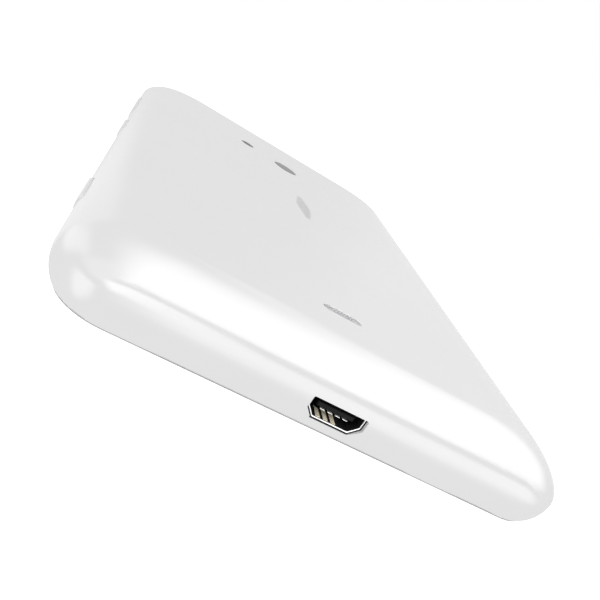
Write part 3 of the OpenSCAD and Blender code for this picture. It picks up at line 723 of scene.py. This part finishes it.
def sounder_grille():
    """Three staggered rows of holes, as long as the ends leave room for."""
    pitch, rows, reach = 0.46, 0.4, GRILLE_LEN / 2 - 0.35
    holes = [(pitch * (i + 0.5 * (row % 2)), rows * row) for row in (-1, 0, 1) for i in range(-6, 7)]
    holes = [(u, v) for u, v in holes if abs(u) + abs(v) * 0.6 < reach]
    perforated("grille_mesh", grown_pill(GRILLE_LEN, GRILLE_W), holes, 0.13, "grille_grey", "sounder_grille")


# ---------------------------------------------------------------- charging port

RIM_R = 0.09
EAR_T = 0.25
EAR_HIGH = 1.6
EAR_FROM, EAR_TO = PORT_Y + 2.6, PORT_Y + 4.4
LINER_T = 0.06
TONGUE_W = 5.2
TONGUE_Z0 = PORT_Z + 1.15
TONGUE_Z1 = PORT_Z + 1.85
CONTACT_PITCH, CONTACT_W, CONTACT_COUNT = 1.06, 0.7, 4
STRIP_W = 0.64


def box_solid(name, low, high, bevel=0.03):
    """Block with softened edges, between two corners in millimetres."""
    centre = (Vector(low) + Vector(high)) / 2
    half = (Vector(high) - Vector(low)) / 2
    b = min(bevel, half.x * 0.6, half.y * 0.6, half.z * 0.6)
    rings = []
    for grow, z in [(-b, -half.z), (0, -half.z + b), (0, half.z - b), (-b, half.z)]:
        outline = rounded_box(half.x + grow, half.y + grow, b + max(grow, -b * 0.5), 3)
        rings.append(placed(outline, z, centre, UP))
    return loft(name, rings)


def port_shell():
    """Folded sheet with a rounded rim, and the two ears that solder to the board."""
    t = PORT_SHEET
    rim = arc(RIM_R, -RIM_R, RIM_R, 0, 180, 6)
    profile = [(t, -PORT_DEEP), (t, -0.5), (2 * RIM_R, -0.3)] + rim + [(0, -PORT_DEEP)]
    shell = stack("port_shell", port_outline, profile, PORT_AT, OUT_FRONT, closed=True)
    combine(shell, port_ears(), "UNION")
    finish_piece(smooth(shell, 40), "root", "port_steel", "usb_shell")


def port_ears():
    """A foot and an upright on each side."""
    side, foot = PORT_W / 2, port_low.z
    ears = []
    for sign in (-1, 1):
        for start, end, top in ((0.1, 1.3, foot + EAR_T), (0.1, 0.35, PORT_Z + EAR_HIGH)):
            x0, x1 = sorted((sign * (side + start), sign * (side + end)))
            ears.append(box_solid("ear", (x0, EAR_FROM, foot), (x1, EAR_TO, top)))
    return ears


def port_tongue(front, back):
    """Tongue with a tapered nose."""
    half_w, half_h, middle_z = TONGUE_W / 2, (TONGUE_Z1 - TONGUE_Z0) / 2, (TONGUE_Z0 + TONGUE_Z1) / 2
    rings = []
    for trim, run in [(0.14, 0.0), (0.04, 0.1), (0, 0.22), (0, back - front)]:
        outline = rounded_box(half_w - trim, half_h - trim, 0.1, 3)
        rings.append(placed(outline, -run, (0, front, middle_z), OUT_FRONT))
    return loft("tongue", rings)


def port_moulding():
    """Black moulding: liner of the shell, back wall, tongue that carries the contacts, and a black collar
    round the mouth that stands in for the shade in the gap round the shell's rim.
    """
    outer, inner = -0.004, -LINER_T
    liner = [(outer, -PORT_DEEP + 0.02), (outer, -0.16), (inner, -0.13), (inner, -PORT_DEEP + 1.0)]
    moulding = stack("port_moulding", port_outline, liner, PORT_AT, OUT_FRONT)
    tongue_front = corners("usb_tongue")[0].y
    combine(moulding, [port_tongue(tongue_front, PORT_Y + PORT_DEEP - 0.5)], "UNION")
    # Black collar round the shell's mouth: painted shade, a dark ring put where the gap round the rim is only
    # in shadow
    shade_collar = [(0.19, -0.14), (0.385, -0.14), (0.385, -1.4), (0.255, -1.4), (0.255, -0.5), (0.19, -0.29)]
    shade_collar = stack("shade_collar", port_outline, shade_collar, PORT_AT, OUT_FRONT, closed=True)
    finish_piece(smooth(join("port_moulding", [moulding, shade_collar])), "root", "black_plastic", "usb_tongue")


def contact_bar(x, width, low_z, high_z, front, back):
    """Flat spring with a rounded nose."""
    half_h = (high_z - low_z) / 2
    r = min(0.03, half_h * 0.5) * 0.6
    rings = []
    for trim, run in [(0.05, 0.0), (0.015, 0.03), (0, 0.08), (0, back - front)]:
        outline = rounded_box(width / 2 - trim, half_h - min(trim, half_h * 0.7), r, 2)
        rings.append(placed(outline, -run, (x, front, (low_z + high_z) / 2), OUT_FRONT))
    return loft("contact", rings)


def port_contacts():
    """Springs along the underside of the tongue, each with a tail on the board."""
    low, high = corners("usb_contacts")
    back, half_tail = PORT_Y + PORT_DEEP, CONTACT_W / 4
    bars = []
    for i in range(CONTACT_COUNT):
        x = (i - (CONTACT_COUNT - 1) / 2) * CONTACT_PITCH
        tail_low, tail_high = (x - half_tail, back, low.z), (x + half_tail, high.y, low.z + 0.15)
        bars.append(contact_bar(x, CONTACT_W, TONGUE_Z0 - 0.2, TONGUE_Z0 - 0.1, low.y, back - 1))
        bars.append(box_solid("tail", tail_low, tail_high, 0.02))
    finish_piece(smooth(join("port_contacts", bars), 50), "root", "contact_tin", "usb_contacts")


def port_floor_strips():
    """Three strips along the floor of the opening."""
    low, high = corners("usb_floor_strips")
    first, pitch = low.x + STRIP_W / 2, (high.x - low.x - STRIP_W) / 2
    strips = [contact_bar(first + i * pitch, STRIP_W, low.z, high.z, low.y, high.y) for i in range(3)]
    finish_piece(smooth(join("port_floor_strips", strips), 50), "root", "contact_gold", "usb_floor_strips")


# ---------------------------------------------------------------- audio jack

JACK_R = 1.8


def jack_ferrule():
    """Turned ring with a rounded mouth that leads the plug in, as (radius, depth) round its section."""
    low, high = corners("jack_ferrule")
    length = high.y - low.y
    outside = [(-0.06, -length), (0, -length + 0.06), (0, -0.12), (-0.04, -0.03), (-0.12, 0)]
    mouth = [(0.42, 0), (0.38, -0.03), (0.3, -0.04), (0.2, -0.08), (0.09, -0.18), (0.02, -0.34), (0, -0.5),
             (0, -length)]
    section = [(FERRULE_R + grow, depth) for grow, depth in outside]
    section += [(JACK_R + grow, depth) for grow, depth in mouth]
    centre = middle("jack_ferrule")
    rings = [placed(disc(r, 72), depth, (centre.x, high.y, centre.z), OUT_BACK) for r, depth in section]
    finish_piece(smooth(loft("ferrule_ring", rings, closed=True), 40), "root", "jack_metal", "jack_ferrule")


# ---------------------------------------------------------------- keys

KEY_FILLET = 0.28
KEY_PROUD = 0.25
KEY_CROWN = 0.05        # how much the middle of a key's face stands up from its edge
KEY_FACE = KEY_PROUD - KEY_CROWN
FLANGE_T = 0.5
FLANGE_SOFT = 0.06
DIP_FROM = 0.6          # depth at which the rocker's hollow starts
NUB_R = 0.8
MARK_DEEP = 0.12
BAR_LEN, BAR_W = 1.3, 0.26


def key_cap(name, node, flange_deep, dip=0.0):
    """Cap with rounded edges and a crowned face, on its retaining flange; dip hollows a rocker's middle."""
    length, height, at = key_cap_size(node)
    across = height / 2
    profile = [(0, -flange_deep)] + arc(-KEY_FILLET, KEY_FACE - KEY_FILLET, KEY_FILLET, 0, 90, 5)
    for grow in (-0.5, -0.8, -1.1, -1.27):
        profile.append((grow, KEY_FACE + KEY_CROWN * (1 - (1 + grow / across) ** 2)))
    outline_at = grown_pill(length, height, 16)
    rings = []
    for grow, depth in profile:
        ring = placed(outline_at(grow), depth, at, OUT_LEFT)
        lift = max(0, (depth + DIP_FROM) / (KEY_FACE + DIP_FROM))
        for point in ring:
            share = min(1, abs(point.y / MM - at[1]) / (length / 2))
            point.x += dip * MM * lift * math.cos(math.pi / 2 * share) ** 2
        rings.append(ring)
    back = -flange_deep - FLANGE_T
    flange = [(FLANGE_OUT - FLANGE_SOFT, back), (FLANGE_OUT, back + FLANGE_SOFT),
              (FLANGE_OUT, -flange_deep - FLANGE_SOFT), (FLANGE_OUT - FLANGE_SOFT, -flange_deep + 0.001)]
    return combine(loft(name, rings), [cutter(outline_at, flange, at, OUT_LEFT)], "UNION"), at


def stem(at, y_shift, flange_deep, end):
    """Round nub that runs from the flange to a plunger."""
    x, y, z = at
    profile = [(0, -flange_deep - 0.3), (0, end + 0.1), (-0.1, end)]
    return cutter(grown_disc(NUB_R, 24), profile, (x, y + y_shift, z), OUT_LEFT)


def icon(outline, at, y_shift=0):
    """Shallow mark with sloping walls in a key's face."""
    x, y, z = at
    profile = [(0.15, KEY_FACE + 0.27), (0.1, KEY_FACE - 0.01), (-0.15, KEY_FACE - MARK_DEEP)]
    return cutter(scaled(outline), profile, (x, y + y_shift, z), OUT_LEFT)


def rocker_lug(at, pin_x, r, half_high, root_x):
    """Ear on the back of the rocker, rounded about its pin."""
    y = at[1]
    outline = arc(pin_x, y, r, -90, 180, 12) + [(root_x, y + r), (root_x, y - r)]
    return loft("lug", [placed(outline, z, (0, 0, at[2]), UP) for z in (-half_high, half_high)])


def volume_rocker():
    """Cap on a lug with the pin's bore, a nub for each plunger, and plus and minus in its face."""
    lug_r, lug_half, pin_r = 0.9, 1.35, 0.44
    nub_end, dip, mark_in = -2.9, 0.1, 2.6
    flange_deep = POCKET_DEEP + 0.35
    cap, at = key_cap("volume_rocker_cap", "volume_rocker", flange_deep, dip)
    pin_x = corners("volume_rocker")[1].x - lug_r
    arm = (middle("volume_up_plunger").y - middle("volume_down_plunger").y) / 2
    stems = [stem(at, shift, flange_deep, nub_end) for shift in (arm, -arm)]
    lug = rocker_lug(at, pin_x, lug_r, lug_half, -HALF_W + flange_deep + 0.2)
    combine(cap, stems + [lug], "UNION")
    bore = cutter(grown_disc(pin_r, 24), [(0, -2), (0, 2)], (pin_x, at[1], at[2]), UP)
    reach = span("volume_rocker").y / 2 - mark_in
    level = pill(BAR_LEN, BAR_W, 6)
    upright = [(v, u) for u, v in level]
    marks = [icon(level, at, reach), icon(upright, at, reach), icon(level, at, -reach)]
    combine(cap, [bore] + marks, "DIFFERENCE")
    finish_piece(smooth(cap), "volume_rocker", "key_white", "volume_rocker")


def push_key(name, node, body, mark):
    """Cap with one nub behind it and one mark in its face."""
    flange_deep = POCKET_DEEP + 0.1
    cap, at = key_cap(name, node, flange_deep)
    nub_end = -corners(node)[1].x - HALF_W
    combine(cap, [stem(at, 0, flange_deep, nub_end)], "UNION")
    combine(cap, [mark(at)], "DIFFERENCE")
    finish_piece(smooth(cap), body, "key_white", node)


def dimple(at):
    """Small round hollow."""
    profile = [(0.06, KEY_FACE + 0.3), (0.02, KEY_FACE + 0.03), (-0.15, KEY_FACE - 0.07)]
    return cutter(grown_disc(0.5, 24), profile, at, OUT_LEFT)


def play_mark(at):
    """Small triangle pointing along the key."""
    outline = rounded_polygon([(-0.5, -0.6), (0.62, 0), (-0.5, 0.6)], 0.08, 3)
    profile = [(0.12, KEY_FACE + 0.3), (0.06, KEY_FACE + 0.03), (-0.12, KEY_FACE - 0.07)]
    return cutter(scaled(outline), profile, at, OUT_LEFT)


top_cover()
seam_gasket()
base_plate()
base_pad()
case_screws()
status_window()
microphone_insert()
sounder_grille()
port_shell()
port_moulding()
port_contacts()
port_floor_strips()
jack_ferrule()
volume_rocker()
push_key("power_key_cap", "power_key", "power_button", dimple)
push_key("play_key_cap", "play_key", "play_button", play_mark)

# ---------------------------------------------------------------- camera, stage and light

CAMERA_AT = Vector((-35.05, -137.32, 37.42)) * MM
CAMERA_TURN = (70.2665, -31.888, -7.4784)     # degrees about X, Y and Z
LENS_MM = 43.75
ROOM_IN_GLOSS = 0.76                          # brightness of the room in reflections
FLOOR_REACH = 30                              # metres
FLOOR_DROP = 0.03 * MM                        # keeps the pad's underside and the floor apart


def camera():
    """View of the charging end from its upper left, rolled to one side."""
    data = bpy.data.cameras.new("camera")
    data.lens = LENS_MM
    data.sensor_width = 36
    data.clip_start = 0.005
    data.clip_end = 100
    view = add("camera", data)
    view.matrix_world = Matrix.LocRotScale(CAMERA_AT, Euler([math.radians(a) for a in CAMERA_TURN]), None)
    bpy.context.scene.camera = view


def world():
    """White room, a little dimmer in reflections."""
    light = bpy.data.worlds.new("studio")
    light.use_nodes = True
    tree = light.node_tree
    room = tree.nodes["Background"]
    room.inputs["Color"].default_value = (1, 1, 1, 1)
    ray = tree.nodes.new("ShaderNodeLightPath")
    level = tree.nodes.new("ShaderNodeMapRange")
    level.inputs["To Min"].default_value = 1.0
    level.inputs["To Max"].default_value = ROOM_IN_GLOSS
    tree.links.new(ray.outputs["Is Glossy Ray"], level.inputs["Value"])
    tree.links.new(level.outputs["Result"], room.inputs["Strength"])
    bpy.context.scene.world = light
    bpy.context.scene.view_settings.view_transform = "Standard"


def plane(name, origin, along, across):
    """Flat sheet from a corner and its two edges, with its own 0 to 1 coordinates."""
    mesh = mesh_from(name, [origin, origin + along, origin + along + across, origin + across], [(0, 1, 2, 3)])
    layer = mesh.uv_layers.new(name="UVMap")
    for loop, uv in zip(layer.data, [(0, 0), (1, 0), (1, 1), (0, 1)]):
        loop.uv = uv
    sheet = add(name, mesh)
    return sheet


def show_blend(tree, share, first, second):
    """Makes the material show the first shader where share is 0, and the second where it is 1."""
    blend = tree.nodes.new("ShaderNodeMixShader")
    tree.links.new(share, blend.inputs["Fac"])
    tree.links.new(first.outputs[0], blend.inputs[1])
    tree.links.new(second.outputs[0], blend.inputs[2])
    tree.links.new(blend.outputs["Shader"], tree.nodes["Material Output"].inputs["Surface"])


def floor():
    """White sheet, clear from below."""
    corner = Vector((-FLOOR_REACH, -FLOOR_REACH, -FLOOR_DROP))
    sheet = plane("floor", corner, Vector((2 * FLOOR_REACH, 0, 0)), Vector((0, 2 * FLOOR_REACH, 0)))
    material = bpy.data.materials.new("floor")
    material.use_nodes = True
    tree = material.node_tree
    shader = tree.nodes["Principled BSDF"]
    shader.inputs["Base Color"].default_value = (0.8, 0.8, 0.8, 1)
    shader.inputs["Roughness"].default_value = 0.9
    shader.inputs["Specular IOR Level"].default_value = 0.0
    shader.inputs["Emission Color"].default_value = (1, 1, 1, 1)
    shader.inputs["Emission Strength"].default_value = 0.7
    surface = tree.nodes.new("ShaderNodeNewGeometry")
    clear = tree.nodes.new("ShaderNodeBsdfTransparent")
    show_blend(tree, surface.outputs["Backfacing"], shader, clear)
    sheet.data.materials.append(material)
    sheet.visible_diffuse = sheet.visible_glossy = False


def ramp(tree, coordinate, low, high):
    """Soft rise from 0 at low to 1 at high."""
    rise = tree.nodes.new("ShaderNodeMapRange")
    rise.interpolation_type = "SMOOTHSTEP"
    rise.inputs["From Min"].default_value = low
    rise.inputs["From Max"].default_value = high
    tree.links.new(coordinate, rise.inputs["Value"])
    return rise.outputs["Result"]


def product(tree, first, second):
    """The two values multiplied."""
    times = tree.nodes.new("ShaderNodeMath")
    times.operation = "MULTIPLY"
    tree.links.new(first, times.inputs[0])
    tree.links.new(second, times.inputs[1])
    return times.outputs["Value"]


def faded(tree, coordinate, places):
    """0 at the first and last place, rising softly to 1 at the two places within."""
    start, full, fading, end = places
    length = end - start
    rise = ramp(tree, coordinate, 0, (full - start) / length)
    fall = ramp(tree, coordinate, 1, (fading - start) / length)
    return product(tree, rise, fall)


SIDES = {
    "above": (Vector((0, 0, 1)), Vector((1, 0, 0)), Vector((0, 1, 0))),
    "beyond": (Vector((0, 1, 0)), Vector((1, 0, 0)), Vector((0, 0, 1))),
    "in_front": (Vector((0, -1, 0)), Vector((1, 0, 0)), Vector((0, 0, 1))),
    "left": (Vector((-1, 0, 0)), Vector((0, 1, 0)), Vector((0, 0, 1))),
}


def softbox(name, side, distance, strength, along, across):
    """Light panel that shows only in reflections.

    along and across say where it starts, is full, starts to fade and ends, in millimetres.
    """
    away, first, second = SIDES[side]
    corner = away * distance + first * along[0] + second * across[0]
    edges = first * (along[3] - along[0]) * MM, second * (across[3] - across[0]) * MM
    sheet = plane(name, corner * MM, *edges)
    sheet.visible_camera = sheet.visible_diffuse = sheet.visible_shadow = False
    material = bpy.data.materials.new(name)
    material.use_nodes = True
    tree = material.node_tree
    tree.nodes.remove(tree.nodes["Principled BSDF"])
    spot = tree.nodes.new("ShaderNodeUVMap")
    split = tree.nodes.new("ShaderNodeSeparateXYZ")
    tree.links.new(spot.outputs["UV"], split.inputs["Vector"])
    level = product(tree, faded(tree, split.outputs["X"], along), faded(tree, split.outputs["Y"], across))
    glow = tree.nodes.new("ShaderNodeEmission")
    glow.inputs["Strength"].default_value = strength
    show_blend(tree, level, tree.nodes.new("ShaderNodeBsdfTransparent"), glow)
    sheet.data.materials.append(material)


def studio():
    """Reflection cards close to the charging end, and wide panels round the room."""
    softbox("overhead_card", "above", 70, 7.4, (-59, -24, 25, 183), (-98, -92, -67, 19))
    softbox("strip_card", "above", 30, 7.2, (-48, -40, -24, 2), (-131, -100, -85, -81))
    softbox("front_card", "in_front", 75, 4.4, (-35, -17, 33, 58), (-3, 10, 15, 19))
    softbox("left_card", "left", 46, 4.2, (-95, -80, -72, -65), (-26, -6, 8, 14))
    softbox("corner_card", "left", 60, 2.5, (-60, -49, -47, 1), (6, 17, 34, 49))
    softbox("ceiling_panel", "above", 4000, 2.4, (800, 3200, 6000, 12000), (-800, 400, 4800, 11200))
    softbox("upper_left_panel", "above", 4000, 2.1, (-5600, -3600, -1600, -800), (-4800, -3200, 0, 1200))
    softbox("beyond_left_panel", "beyond", 4000, 1.05, (-3600, -2400, -1100, -700),
            (-2400, -1200, 1200, 2400))
    softbox("beyond_right_panel", "beyond", 4000, 0.88, (1000, 1800, 6000, 8000), (-2400, -1200, 2000, 3200))


camera()
world()
floor()
studio()
